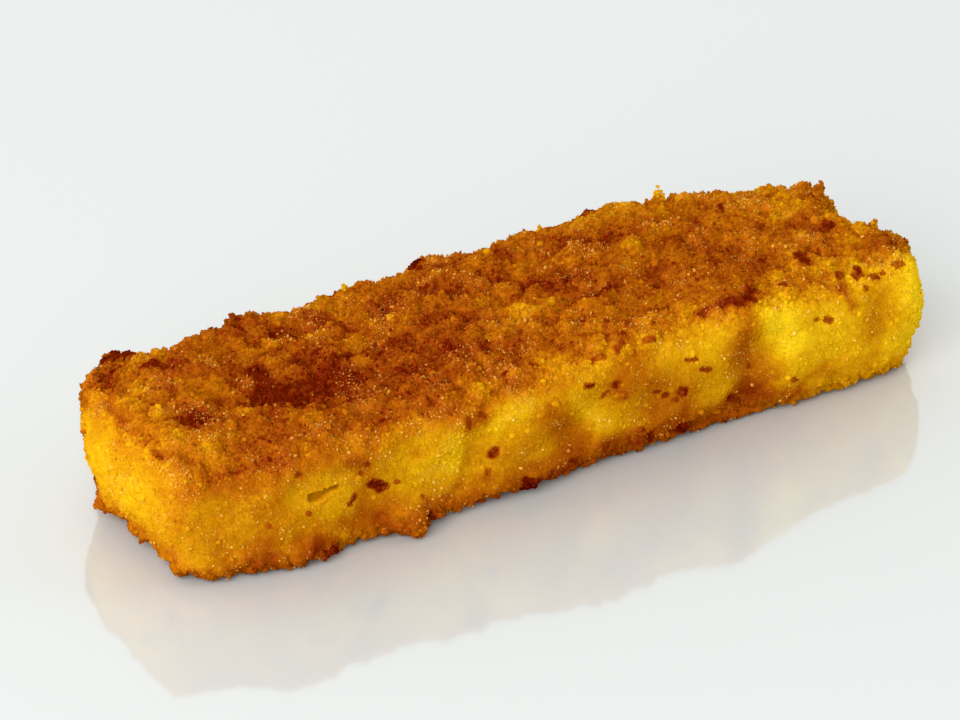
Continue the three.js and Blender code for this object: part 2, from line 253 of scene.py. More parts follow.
# Burnt spots, as marks of five numbers.
BURNT_SPOTS = {
    "front": [
        (-23.2, 7.5, -22.2, 6.4, 0.62), (-21.8, 6.6, -21.6, 6.4, 0.35), (-25.5, 6.6, -25.9, 5.9, 0.35),
        (-24.9, 9.2, -24.8, 9, 0.3), (-24.3, 10.3, -24.2, 10.1, 0.25), (-35, 6.1, -34.9, 5.9, 0.24),
        (-32.2, 11.4, -32, 11.3, 0.3), (-38, 12.2, -37.4, 12.3, 0.28), (-20.5, 6.7, -20.4, 6.6, 0.24),
        (-17.5, 4.1, -17.3, 3.9, 0.24), (-21.5, 13.6, -21.1, 13.3, 0.35),
        (-12.9, 11.9, -12.6, 11, 0.36), (-11.2, 11.9, -10.8, 11.5, 0.3), (-9.4, 7.3, -9.6, 6.6, 0.4),
        (-9.9, 4.8, -10.1, 4.4, 0.26), (0.9, 11.9, 1.6, 11.6, 0.4), (2.4, 14, 3.3, 14, 0.26),
        (4.8, 14.1, 6, 14.6, 0.28), (8.4, 14.1, 9.6, 14, 0.22), (3.8, 10, 3.5, 9.4, 0.28),
        (4.5, 11, 4.6, 10.6, 0.26), (9.7, 8.1, 10.1, 7.9, 0.28), (10.8, 7.4, 11.2, 7.3, 0.32),
        (12, 6.5, 12.5, 6.4, 0.26), (12.7, 7.6, 13.4, 7, 0.42), (13.2, 11, 14.4, 10.7, 0.3),
        (15.2, 9.3, 16, 9, 0.32), (8.5, 3.7, 8.9, 3.5, 0.34), (7.4, 3, 7.6, 2.8, 0.25),
        (29.2, 10.9, 29.5, 10.7, 0.26), (30.6, 10.4, 31.2, 10.2, 0.3), (35.9, 13.3, 36.8, 13.4, 0.36),
        (36.1, 12, 36.4, 11.9, 0.26), (37.5, 12.6, 37.9, 12.7, 0.28), (38.9, 12.7, 39.2, 12.7, 0.2),
        (40.7, 12.8, 42, 12.8, 0.2), (27, 4.4, 27.5, 4.1, 0.24), (20.3, 3.3, 21.6, 2.4, 0.4),
        (-5.4, 2.2, -4.6, 0.9, 0.6), (0.4, 2.6, 0.9, 2, 0.3), (13.8, 1.8, 15, 0.9, 0.42),
        (10.2, 2.6, 10.6, 1.6, 0.35), (-27.8, 1.6, -27.2, 1, 0.25), (-16.6, 1.6, -16, 1, 0.4),
        (22.1, 7.2, 22.1, 6.8, 0.2), (-30.9, 6.5, -30.8, 6.3, 0.2),
    ],
    "top": [
        (-25, -1.4, -23.2, -2.2, 0.8), (-27.8, -2.2, -26, -3, 0.7), (-22, -3.6, -21.4, -4.4, 0.6),
        (-38.6, -2, -38, -2.2, 0.4), (-36.2, 8.4, -35.2, 8, 0.6), (-38.6, 12.6, -37.6, 11.8, 0.6),
        (-36.8, 11.8, -36.2, 11.4, 0.5), (-40.8, 9.2, -40.2, 8.8, 0.4), (-38.9, 10, -38.2, 9.8, 0.35),
        (-24.4, 11.6, -24.2, 9.6, 0.4), (-21, -11.8, -21, -12.4, 0.36), (-17.2, -10.2, -17, -10.5, 0.3),
        (-8.8, -3.8, -8.6, -5, 0.35), (-6, -6.4, -5.8, -7.2, 0.4), (-6.4, -8.4, -6.2, -8.5, 0.22),
        (-3.7, -9.6, -3.6, -10, 0.22), (-7.4, -12.4, -6.6, -12, 0.32), (-3.4, -12, -3.2, -12.6, 0.24),
        (1.2, -11.8, 1.4, -12.2, 0.22), (5.8, -11.2, 6.3, -10.8, 0.28), (7.6, -12.2, 8.3, -11.8, 0.24),
        (10.5, -12.6, 10.9, -12.4, 0.2), (9.9, -4.8, 10.1, -4.6, 0.45), (10.8, -4.5, 11.4, -4.3, 0.2),
        (6.4, 10, 6, 9, 0.4), (2.8, 4, 3.2, 3.6, 0.35), (1.9, -5.9, 1.6, -6.5, 0.24),
        (-2.9, -8.5, -2.5, -8.6, 0.24), (16, -13.4, 17, -13, 0.4), (18.4, -13.8, 20.4, -13.8, 0.36),
        (20.6, -13.6, 22, -13.3, 0.7), (22.4, -12.6, 23, -11.8, 0.6), (23.8, -10.6, 24.6, -9.8, 0.24),
        (32.4, -7.4, 31.8, -9, 0.6), (32.8, -6.8, 32.9, -6.9, 0.3), (28, -6.5, 28.4, -6.3, 0.3),
        (34, -7.7, 34.6, -7.3, 0.3), (31, 5.2, 31.4, 6, 0.34), (25.3, 4.3, 25.6, 4.6, 0.3),
        (17.2, -0.7, 17.5, -0.5, 0.26), (27, -12, 27.2, -11.8, 0.3), (29.4, -11, 29.6, -10.8, 0.3),
        (33.8, -12, 34.4, -11.6, 0.36), (35.9, -12.2, 36.6, -11.8, 0.4),
        (37.4, -12.9, 38.2, -12.8, 0.28), (40.8, -12.2, 41.8, -12, 0.22), (38.6, -3, 39, -3.4, 0.4),
        (41.2, 3, 41.4, 3.6, 0.35), (43.4, 6.8, 43.6, 6, 0.4), (43.4, -7.5, 43.8, -7.2, 0.4),
        (-2.2, 12.4, -1.6, 12, 0.6), (27.6, 11.8, 28, 11.6, 0.3), (-11.8, 12.6, -11.4, 12.4, 0.3),
        (39.4, 8.6, 39.8, 8.4, 0.35),
    ],
    "left": [
        (11.2, 9, 11.6, 9.4, 0.3), (-5.8, 12.6, -6.6, 12.6, 0.2),
    ],
}

# Painted glints: pale flakes lie thick along these marks and stand in for highlights.
PAINTED_GLINT_MARKS = {
    "front": [
        (2.8, 7.4, 4.4, 5.6, 0.7), (-17.4, 6.2, -14.6, 6.8, 0.6), (-15.8, 9.3, -14.8, 11, 0.6),
        (-7.8, 10.6, -5.8, 11.6, 0.8), (24, 12, 24.4, 13.5, 0.8), (26.2, 10.7, 25.6, 9, 0.6),
        (7.2, 6.2, 8, 4.8, 0.3), (12.6, 12.8, 13.4, 12.6, 0.6), (-22.8, 9.9, -22.3, 9.3, 0.3),
        (31, 9.8, 32, 10, 0.6), (-2.6, 8.4, -0.8, 7.4, 0.5), (-6.4, 6.4, -5.4, 5, 0.6),
        (8.8, 6.4, 9.4, 5, 0.6),
    ],
    "left": [
        (-1, 8, -5, 10, 0.6),
    ],
}

# Heaps of crumbs that stand out from the outline: middle, radius, height, and how much browner.
STANDING_HEAPS = [
    ((-37.4, 12.8, 14), 1.4, 0.5, 0.05), ((-36, 12, 14), 1.0, 0.4, 0.0),
    ((-10.6, 12.6, 14), 0.4, 1.1, -0.3), ((-9, 12.5, 14), 0.8, 0.6, 0.0),
    ((-2, 13, 14), 1.1, 0.8, 0.15), ((12.1, 10.8, 14.9), 0.35, 0.9, -0.3),
    ((27.2, 10.9, 14), 0.5, 1.2, -0.25), ((39, 8.6, 14), 0.9, 0.7, 0.0),
    ((41.6, 5.2, 13.7), 0.9, 1.0, 0.0), ((42.6, 4.2, 13.7), 0.7, 1.2, 0.0),
    ((42.6, -5.8, 13.6), 0.4, 1.2, -0.1), ((-44.4, 9.4, 8.4), 0.5, 0.5, 0.1),
    ((-23, 13, 14), 0.7, 0.5, 0.1), ((4, 13, 15), 0.8, 0.5, 0.0), ((19, 13, 15), 0.8, 0.5, 0.1),
    ((34, 10.6, 14), 0.7, 0.5, 0.0), ((-29, 13.4, 13.5), 0.8, 0.4, 0.0),
    ((-18.6, -16.5, 0.8), 0.8, 0.3, 0.0), ((-15.6, -14.8, 1.4), 0.5, 0.8, 0.0),
    ((-4.6, -15, 0.6), 0.9, 0.7, 0.2), ((14.6, -15, 0.6), 0.8, 0.5, 0.2),
    ((-43, -9, 0.6), 0.9, 0.4, 0.0), ((-43.4, 5, 1.8), 1.2, 1.0, 0.1),
    ((-43, -1.5, 1.6), 1.4, 0.9, 0.05), ((-41.4, 9.2, 1.0), 0.35, 1.2, -0.05),
    ((-28, -15, 0.6), 0.9, 0.5, 0.1), ((34, -14, 0.6), 0.8, 0.6, 0.0), ((45, -10, 3), 0.6, 0.5, 0.0),
    ((-45, -9, 4), 0.6, 0.5, 0.0), ((8, -15, 0.6), 0.7, 0.5, 0.1),
]

# The loose crumbs: where the random draws start, and the most faces that one kind of crumb has.
SEED = 12
MOST_FACES = 199000
CORNERS_IN_OR_OUT = 0.3  # how far a crumb's corners are moved, as a share of its radius
CRUMBS_IN_STACK = 3  # crumbs above each other at each place of a standing heap

# A crumb's middle lies between these heights over the crust, in its own radii. A few, by this share,
# stand further out by this height.
CRUMBS_FROM, CRUMBS_TO = -0.55, 0.1
STANDING_SHARE, STANDING_RISE = 0.07, 0.8

# The studio. A lamp's place is its turn from the front and its height in degrees, then its distance
# and its width in metres.
KEY_LAMP = (-54, 30, 0.9, 0.7)
RIGHT_LAMP = (62, 14, 0.9, 0.5)
LAMP_COLOUR = (1.0, 1.0, 0.98)
EVEN_LIGHT_LOW, EVEN_LIGHT_HIGH = 1.15, 0.7  # the even light at the horizon and overhead
BACKLIGHT_FROM = (-0.35, 0.94, 0.0)  # the way to the even light's brighter side, behind the stick
BLACK_LEVEL = 0.0025  # what is shown as black, so that the darkest crumbs look deep
TABLE_HALF_WIDTH, TABLE_BELOW = 2.0 / MM, 0.02
AIM = (-1.34, 2.18, 7.5)  # what the camera looks at


# ---------------------------------------------------------------------------------------------
# Noise
# ---------------------------------------------------------------------------------------------
def lattice(i, j, k):
    """A number from 0 to 1 that looks random for each point of a whole-number lattice: the
    fraction of a large multiple of the sine of a mix of the three numbers."""
    s = np.sin(i * 12.9898 + j * 78.233 + k * 37.719) * 43758.5453
    return s - np.floor(s)


def smooth(t):
    """The cubic that goes from 0 at 0 to 1 at 1 and is level at both ends, held outside them."""
    t = np.clip(t, 0, 1)
    return t * t * (3 - 2 * t)


def noise(p, size):
    """Smooth noise from -1 to 1: lattice values at the eight corners of a point's cell, each
    weighted by how near the point is to that corner."""
    q = p / size
    cell = np.floor(q)
    near = smooth(q - cell)
    total = np.zeros(len(p))
    for corner in itertools.product((0, 1), repeat=3):
        corner = np.array(corner)
        weight = np.where(corner, near, 1 - near).prod(1)
        total += weight * lattice(*(cell + corner).T)
    return 2 * total - 1


def granules(p, size, key):
    """Round granules. Space is cut into cubes of the given size, each with one centre at a random
    place. A point's height is that of the tallest cap, 1 minus the squared share of the radius at
    which the point lies, over its own cube and the 26 round it. Also gives that granule's tone."""
    q = p / size
    cell = np.floor(q)
    height = np.zeros(len(p))
    tone = np.zeros(len(p))
    for offset in itertools.product((-1, 0, 1), repeat=3):
        i, j, k = (cell + np.array(offset)).T
        within = [lattice(i + key, j, k), lattice(i, j + key, k), lattice(i, j, k + key)]
        centre = np.stack([i, j, k], 1) + np.stack(within, 1)
        radius = 0.55 + 0.4 * lattice(i + 2 * key, j + key, k)
        cap = 1 - ((q - centre) ** 2).sum(1) / radius**2
        taller = cap > height
        height = np.where(taller, cap, height)
        tone = np.where(taller, 2 * lattice(i, j + 2 * key, k + key) - 1, tone)
    return height, tone


def bent(p, amount, size, shift):
    """Points moved along each axis by noise of its own, read at places a fixed shift apart."""
    return p + amount * np.stack([noise(p + (shift + step), size) for step in (0, 30, 60)], 1)


def round_hills(p, hills):
    """The sum of bell-shaped hills: height times e to the minus squared distance, with the distance
    along each axis in units of the hill's reach along it."""
    total = np.zeros(len(p))
    for middle, reach, height in hills:
        total += height * np.exp(-(((p - middle) / reach) ** 2).sum(1))
    return total


# ---------------------------------------------------------------------------------------------
# The crust's surface
# ---------------------------------------------------------------------------------------------
def arc(middle, radius, start):
    """A quarter circle from the angle start: points and outward normals."""
    angle = start + np.linspace(0, math.pi / 2, EDGE_STEPS)
    normal = np.stack([np.cos(angle), np.sin(angle)], 1)
    return np.array(middle) + radius * normal, normal


def cross_section():
    """The block's section as a closed outline of four quarter circles joined by straights, from the
    underside's back corner round the back, top and front. Gives distance along it, points, normals."""
    half, low, top = WIDTH / 2, BOTTOM_EDGE_RADIUS, TOP_EDGE_RADIUS
    arcs = [
        arc((half - low, low), low, -math.pi / 2),
        arc((half - top, HEIGHT - top), top, 0),
        arc((top - half, HEIGHT - top), top, math.pi / 2),
        arc((low - half, low), low, math.pi),
    ]
    arcs.append((arcs[0][0][:1], arcs[0][1][:1]))
    points = np.concatenate([points for points, _ in arcs])
    normals = np.concatenate([normals for _, normals in arcs])
    along = np.r_[0, np.cumsum(np.hypot(*np.diff(points, axis=0).T))]
    return along, points, normals


def profile():
    """The way from the left end face's middle to the right one's, as columns: distance along it,
    place along X, inset from the side, share from the end face's middle to its edge, and tilt."""
    steps = np.linspace(0, 1, EDGE_STEPS)
    level = np.ones(EDGE_STEPS)
    angle = steps * math.pi / 2
    cap = np.stack([-LENGTH / 2 * level, END_EDGE_RADIUS * level, steps, -math.pi / 2 * level], 1)
    turn_x = -LENGTH / 2 + END_EDGE_RADIUS * (1 - np.cos(angle))
    turn_inset = END_EDGE_RADIUS * (1 - np.sin(angle))
    turn = np.stack([turn_x, turn_inset, level, angle - math.pi / 2], 1)
    left = np.concatenate([cap, turn[1:]])
    right = left[::-1] * [-1, 1, 1, -1]
    rows = np.concatenate([left, right])
    middle_to_edge = (WIDTH + HEIGHT) / 4 - END_EDGE_RADIUS
    step_x, step_inset, step_share = np.diff(rows[:, :3], axis=0).T
    travel = np.hypot(np.hypot(step_x, step_inset), step_share * middle_to_edge)
    return np.r_[0, np.cumsum(travel)], rows


SECTION_ALONG, SECTION_POINTS, SECTION_NORMALS = cross_section()
PROFILE_ALONG, PROFILE_ROWS = profile()
ROUND = SECTION_ALONG[-1]
UNDER = WIDTH - 2 * BOTTOM_EDGE_RADIUS
BACK_TOP = HEIGHT - TOP_EDGE_RADIUS
TRAVEL = PROFILE_ALONG[-1]

# The stretches with more columns and rows, as distances round the section and along the profile.
FRONT_FOOT = ROUND - UNDER - BOTTOM_EDGE_RADIUS * math.pi / 2
SLIT_ROUND = FRONT_FOOT - np.array(SLIT_COLUMNS_BETWEEN) + BOTTOM_EDGE_RADIUS
SLIT_ALONG = np.interp(SLIT_ROWS_BETWEEN, PROFILE_ROWS[:, 0], PROFILE_ALONG)


def blend(at, along, values):
    """Each column of values, read at the distances at, straight between the points given."""
    return np.stack([np.interp(at, along, column) for column in values.T], 1)


def warped(p):
    """The block's warps: it swells upwards round one place along X, its corners are worn off, its
    sides lean and bow, and its left end is set back towards the back."""
    x, y, z = p.T
    along, across, up = x / (LENGTH / 2), y / (WIDTH / 2), z / HEIGHT
    left, right = np.maximum(-along, 0), np.maximum(along, 0)
    front, back = np.maximum(-across, 0), np.maximum(across, 0)
    high_up = 2 * up - 1
    worn = np.zeros(len(p))
    for end, side, depth, start in WORN_CORNERS:
        near_end = smooth((x * end - start) / (LENGTH / 2 - start))
        worn -= depth * near_end * side * np.maximum(across * side, 0)
    lean = high_up * (LEAN_RIGHT * right - LEAN_LEFT * left)
    skew = LEFT_END_SKEW * left**3 * (0.5 + across / 2)
    belly = front * (LEAN_FRONT * high_up + FRONT_BELLY * up * (1 - along**2))
    swell = SWELL_RISE * np.exp(-(((x - SWELL_AT) / SWELL_SPREAD) ** 2))
    return np.stack([x + lean + skew, y - belly + back * LEAN_BACK * high_up + worn, z + up * swell], 1)


def beside(places, start, end):
    """How far along the straight from one place to another each place lies, from 0 to 1, and the way
    to it from the nearest point of that straight."""
    way = np.subtract(end, start)
    share = np.clip((places - start) @ way / max(way @ way, 1e-9), 0, 1)
    return share, places - start - share[:, None] * way


def slit_share(p):
    """1 inside the slit in the front side, 0 outside it: the distance from the straight between its
    ends, bent a little into an S, against its half width, which narrows towards the right."""
    share, away = beside(p[:, [0, 2]], SLIT_FROM, SLIT_TO)
    away[:, 1] += 0.14 * np.sin(2 * math.pi * share)
    half_width = SLIT_HALF_WIDTHS[0] + (SLIT_HALF_WIDTHS[1] - SLIT_HALF_WIDTHS[0]) * share
    inside = smooth((half_width - np.linalg.norm(away, axis=1)) / 0.16 + 0.5)
    return inside * (p[:, 1] < 0)


def topness(normal):
    """1 where the block's surface faces up, 0 where it faces sideways or down."""
    return smooth(normal[:, 2] * 1.6 - 0.3)


def underness(normal):
    """1 where the block's surface faces down, 0 where it faces sideways or up."""
    return smooth(-normal[:, 2] * 2 - 0.6)


def relief(p, normal, depth):
    """Height of the crumbs that the crust itself shows, their tone, the heaps' height from 0 to 1,
    and the slit's share. On the top, large granules with outlines bent by noise are heaped up like
    popcorn. All over lie granules half as wide, and on those ones half as wide again. They are
    coarse on the top and at the foot and fine on the sides. The slit is sunk into the front side."""
    top = topness(normal)
    heap, _ = granules(bent(p, 0.5, 1.6, 0), HEAP_SIZE, 3)
    lump, tone = granules(p, LUMP_SIZE, 7)
    grain, grain_tone = granules(p, GRAIN_SIZE, 11)
    heap *= top * (0.35 + 0.65 * smooth(noise(p + 40, 9.0) + 0.5))
    foot = smooth(1.3 - p[:, 2] / 2.6) * (1 - top)
    end = np.abs(normal[:, 0]) * (1 - top)
    coarse = SIDE_RELIEF + (1 - SIDE_RELIEF) * np.maximum(np.maximum(top, foot), 0.15 * end)
    lumps = (LUMP_HEIGHT + 0.25 * foot) * lump + GRAIN_HEIGHT * grain
    height = HEAP_HEIGHT * heap + coarse * lumps
    slit = slit_share(p)
    deep = np.maximum(np.maximum(top, 0.8 * foot), 0.6 * end)
    sunk = RELIEF_SUNK * (0.2 + 0.8 * coarse * deep)
    height = depth * (height * (1 - slit) - sunk) - SLIT_DEPTH * slit
    return height, 0.6 * tone + 0.4 * grain_tone, heap, slit


def crust_surface(u, v, depth):
    """The crust at given distances round the section (u) and along the profile (v), in millimetres.
    The block's section is drawn in towards the end faces and warped. It is moved along the block's
    normal by the clumps and the hills, which gives the base, and on it by the crumbs' relief, whose
    depth is a factor."""
    point = blend(u % ROUND, SECTION_ALONG, SECTION_POINTS)
    side = blend(u % ROUND, SECTION_ALONG, SECTION_NORMALS)
    side /= np.linalg.norm(side, axis=1)[:, None]
    x, inset, cap, tilt = blend(v, PROFILE_ALONG, PROFILE_ROWS).T
    radial = point - [0, HEIGHT / 2]
    share = cap * (1 - inset / np.linalg.norm(radial, axis=1))
    section = [0, HEIGHT / 2] + radial * share[:, None]
    normal = np.column_stack([np.sin(tilt), side * np.cos(tilt)[:, None]])
    block = warped(np.column_stack([x, section]))
    clumps = sum(height * noise(block, size) for size, height in CLUMPS)
    lift = smooth(block[:, 2] / CLUMPS_FULL_AT) * clumps + round_hills(block, HILLS)
    lift *= 1 - smooth(-3 * normal[:, 2] - 2)
    base = block + normal * lift[:, None]
    base[:, 2] = np.maximum(base[:, 2], 0)
    height, tone, heap, slit = relief(base, normal, depth)
    surface = base + normal * height[:, None]
    surface[:, 2] -= 0.5 * np.maximum(surface[:, 2] - PRESSED_ABOVE, 0)
    under = UNDERSIDE_GAP + 0.25 * underness(normal) * (1 + tone)
    surface[:, 2] = np.maximum(surface[:, 2], under)
    return SimpleNamespace(point=surface, base=base, normal=normal, tone=tone, heap=heap, slit=slit)


def only(surface, mask):
    """The part of a surface's points for which the mask is true."""
    return SimpleNamespace(**{key: values[mask] for key, values in vars(surface).items()})


def fit_to_box(sizes):
    """The shift and the scale that give the bare block the length, width and height asked for. The
    bare block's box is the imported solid's, so at the default sizes next to nothing moves."""
    u, v = np.meshgrid(np.linspace(0, ROUND, 120), np.linspace(0, TRAVEL, 240))
    bare = crust_surface(u.ravel(), v.ravel(), 0.0).base
    low, high = bare.min(0), bare.max(0)
    scale = np.array([sizes.length, sizes.width, sizes.height]) / MM / (high - low)
    middle = (low + high) / 2
    return np.array([-middle[0], -middle[1], 0]), scale


# ---------------------------------------------------------------------------------------------
# Browning
# ---------------------------------------------------------------------------------------------
# A side's two axes, and how far a surface faces it.
SIDES = {
    "front": ([0, 2], lambda normal: -normal[:, 1]),
    "top": ([0, 1], lambda normal: normal[:, 2]),
    "left": ([1, 2], lambda normal: -normal[:, 0]),
}


def off_marks(p, normal, marks):
    """For each mark in turn, the points' distances from it in units of its radius, 1 where the surface
    faces that mark's side and 0 where it faces away, and the mark's numbers from its radius on."""
    for side, side_marks in marks.items():
        axes, facing = SIDES[side]
        on_side = smooth(facing(normal) * 2.5 - 0.5)
        for a, b, c, d, radius, *change in side_marks:
            _, away = beside(p[:, axes], (a, b), (c, d))
            yield np.linalg.norm(away, axis=1) / radius, on_side, radius, change


def tint_and_shade(p, normal):
    """The sum of the marks' changes, real browning and painted shade and light, each falling off as e to
    the minus squared distance.
    """
    total = np.zeros(len(p))
    for away, on_side, _, (change,) in off_marks(bent(p, 0.4, 1.3, 5), normal, TINT_AND_SHADE_MARKS):
        total += change * np.exp(-(away**2)) * on_side
    return total


def in_marks(p, normal, marks, edge=2.6):
    """How far inside one of the marks a point is, from 0 to 1, with the outlines made uneven by
    noise. Small marks are fainter, and a larger edge makes the outlines harder."""
    inside = np.zeros(len(p))
    uneven = 0.4 * noise(p + 11, 0.6) + 0.25 * noise(p + 17, 1.4)
    for away, on_side, radius, _ in off_marks(p, normal, marks):
        strength = min(0.4 + 1.2 * radius, 1)
        inside = np.maximum(inside, strength * smooth(edge - (edge - 0.6) * (away + uneven)) * on_side)
    return inside


def browning(s):
    """How brown the crust is, from 0, pale gold, to 1, burnt, with painted shade and light in it. The top
    is browned, down to an uneven line on each side, and painted paler on its heaps and browner
    between them, painted light and shade that follow the relief. The sides grow paler towards the
    right and have a browner foot. The marks and noise of several sizes are added to that; some
    marks are painted shade in the front's hollows and painted light on its plump lobes."""
    p, normal = s.base, s.normal
    x, y, z = p.T
    along_front = z + np.maximum(y - FRONT_EDGE, 0)
    front_line = np.interp(x, *np.array(FRONT_BROWNING).T)
    back_line = BACK_BROWNING + 1.6 * noise(p * [1, 0, 0] + 90, 6.0)
    past = np.where(y < 0, along_front - front_line, z - back_line)
    end_line = np.where(x < 0, LEFT_BROWNING, RIGHT_BROWNING)
    past = np.minimum(past, z + np.maximum(END_EDGE - np.abs(x), 0) - end_line)
    past += 0.8 * noise(p, 2.4) + 0.6 * noise(p + 7, 1.1)
    end = np.maximum(np.abs(normal[:, 0]) * 1.5 - 0.5, 0)
    rim = np.where(x < 0, LEFT_RIM, RIGHT_RIM)
    most = rim + (1 - rim) * smooth((40 - np.abs(x)) / 4)
    high = np.minimum(smooth(past / BROWNING_WIDTH + 0.5), most)
    low = smooth(1.3 - z / 4.4 + 0.25 * noise(p + 31, 1.4))
    left_end = (0.12 * smooth(1 - z / 8) - 0.02) * end * (x < 0)
    side = SIDE_BROWNING - 0.15 * smooth((x - 19) / 8) + left_end
    crown = TOP_BROWNING - 0.055 * smooth((x - 10) / 12)
    foot = FOOT_BROWNING * low * (1 - 0.5 * end) * (1 - 0.2 * smooth((x - 24) / 6))
    level = side + (crown - side) * high + foot + 0.05 * underness(normal)
    level += tint_and_shade(p, normal)
    level += 0.04 * noise(p + 20, 7.0) + 0.05 * noise(p + 60, 2.6) + 0.03 * s.tone
    # Painted light and shade: heap tops are painted paler and the low ground between them browner.
    level += topness(normal) * (0.05 * noise(p + 80, 3.4) + 0.06 * noise(p + 70, 1.5) - 0.21 * s.heap)
    level = np.clip(level, 0, MOST_BROWNING)
    charred = 0.88 + 0.1 * noise(p + 44, 0.9)
    return level + (charred - level) * in_marks(p, normal, BURNT_SPOTS, 1.9)


def pallor(s):
    """How thick the pale flakes that are painted glints lie at a place, from 0 to 1, broken up by fine
    noise.
    """
    return in_marks(s.base, s.normal, PAINTED_GLINT_MARKS, 1.6) * smooth(noise(s.base, 0.8) + 0.7)


# ---------------------------------------------------------------------------------------------
# Meshes
# ---------------------------------------------------------------------------------------------
def new_mesh_object(name, points, faces, attributes):
    """A smooth mesh object from points in millimetres, faces and point attributes, at the origin."""
    mesh = bpy.data.meshes.new(name)
    mesh.from_pydata((points * MM).tolist(), [], faces)
    for key, values in attributes.items():
        mesh.attributes.new(key, "FLOAT", "POINT").data.foreach_set("value", values.astype(np.float32))
    mesh.polygons.foreach_set("use_smooth", np.ones(len(mesh.polygons), bool))
    mesh.validate()
    piece = bpy.data.objects.new(name, mesh)
    bpy.context.scene.collection.objects.link(piece)
    return piece


def make_crust(fit, depth):
    """The crust as one closed grid: rings of points round the section, row after row along the
    profile, each joined to the next by quads, and closed by a fan of triangles at each end."""
    ring = np.r_[
        np.linspace(0, BACK_TOP, BACK_COLUMNS, endpoint=False),
        np.linspace(BACK_TOP, ROUND - UNDER, TOP_AND_FRONT_COLUMNS, endpoint=False),
        np.linspace(ROUND - UNDER, ROUND, UNDER_COLUMNS, endpoint=False),
    ]
    ring = np.unique(np.r_[ring, np.linspace(*SLIT_ROUND, SLIT_COLUMNS)])
    rows = np.unique(np.r_[np.linspace(0, TRAVEL, CRUST_ROWS + 2), np.linspace(*SLIT_ALONG, SLIT_ROWS)])
    count = len(rows) - 2
    columns = len(ring)
    u = np.r_[0, np.tile(ring, count), 0]
    v = np.r_[0, np.repeat(rows[1:-1], columns), TRAVEL]
    s = crust_surface(u, v, depth)
    i, j = np.meshgrid(np.arange(count - 1), np.arange(columns), indexing="ij")
    after = (j + 1) % columns
    row, next_row = 1 + i * columns, 1 + (i + 1) * columns
    quads = np.stack([row + j, row + after, next_row + after, next_row + j], -1)
    j = np.arange(columns)
    after = (j + 1) % columns
    last = len(u) - 1
    left = np.stack([0 * j, 1 + after, 1 + j], 1)
    right = np.stack([0 * j + last, last - columns + j, last - columns + after], 1)
    faces = left.tolist() + quads.reshape(-1, 4).tolist() + right.tolist()
    attributes = {
        # The crust on the top is painted a little paler: painted light that offsets the shade in the gaps
        # between the crumbs.
        "browning": browning(s) - 0.03 * topness(s.normal),
        # The crust is painted a little towards the flakes' pale colour where they lie thick: a painted
        # glint.
        "pallor": 0.04 * pallor(s),
        "slit": s.slit,
    }
    shift, scale = fit
    return new_mesh_object("crumb_crust", (s.point + shift) * scale, faces, attributes)


def ring_of_five(start, height):
    """Five corners evenly round a circle of the unit sphere at a height, from the angle start."""
    angle = np.arange(5) * 2 * math.pi / 5 + start
    wide = math.sqrt(1 - height**2)
    return np.stack([wide * np.cos(angle), wide * np.sin(angle), np.full(5, height)], 1)


def icosahedron():
    """Corners on the unit sphere and the 20 faces, outward: a top and a bottom corner, and two rings
    of five between them, the lower ring turned by half a step."""
    high = 1 / math.sqrt(5)
    rings = [ring_of_five(0, high), ring_of_five(math.pi / 5, -high)]
    corners = np.concatenate([[[0, 0, 1]], *rings, [[0, 0, -1]]])
    k = np.arange(5)
    n = (k + 1) % 5
    cap = np.stack([0 * k, 1 + k, 1 + n], 1)
    upper = np.stack([1 + k, 6 + k, 1 + n], 1)
    lower = np.stack([6 + k, 6 + n, 1 + n], 1)
    foot = np.stack([0 * k + 11, 6 + n, 6 + k], 1)
    return corners, np.concatenate([cap, upper, lower, foot])


def double_pyramid():
    """Corners on the unit sphere and the 10 faces, outward: a ring of five between two tips."""
    corners = np.concatenate([[[0, 0, 1]], ring_of_five(0, 0), [[0, 0, -1]]])
    k = np.arange(5)
    n = (k + 1) % 5
    upper = np.stack([0 * k, 1 + k, 1 + n], 1)
    lower = np.stack([0 * k + 6, 1 + n, 1 + k], 1)
    return corners, np.concatenate([upper, lower])


def turns(rng, count):
    """Random rotation matrices, from random unit quaternions."""
    q = rng.normal(size=(count, 4))
    w, x, y, z = q.T / np.linalg.norm(q, axis=1)
    rows = [
        [1 - 2 * (y * y + z * z), 2 * (x * y - z * w), 2 * (x * z + y * w)],
        [2 * (x * y + z * w), 1 - 2 * (x * x + z * z), 2 * (y * z - x * w)],
        [2 * (x * z - y * w), 2 * (y * z + x * w), 1 - 2 * (x * x + y * y)],
    ]
    return np.moveaxis(np.array(rows), 2, 0)


def unit(vectors):
    """Vectors of length 1 along the given ones."""
    return vectors / np.maximum(np.linalg.norm(vectors, axis=-1), 1e-9)[..., None]


class CrumbKind(NamedTuple):
    """One kind of crumb: what it is called, its form, and how it lies on the crust."""

    name: str
    shape: tuple  # its corners and faces
    size: float = 1.0  # its radius, in radii of a fine crumb
    spread: float = 0.2  # how much the sizes differ
    browner: float = 0.0  # than the crust under it
    lift: float = 0.0  # how much further out it lies than other crumbs, in its own radii
    fused: float = 0.7  # how far it is shaded as part of the crust that it is fried onto
    stretch: float = 0.35  # how much its three axes differ
    flake: bool = False  # whether it is a flake painted pale as a glint


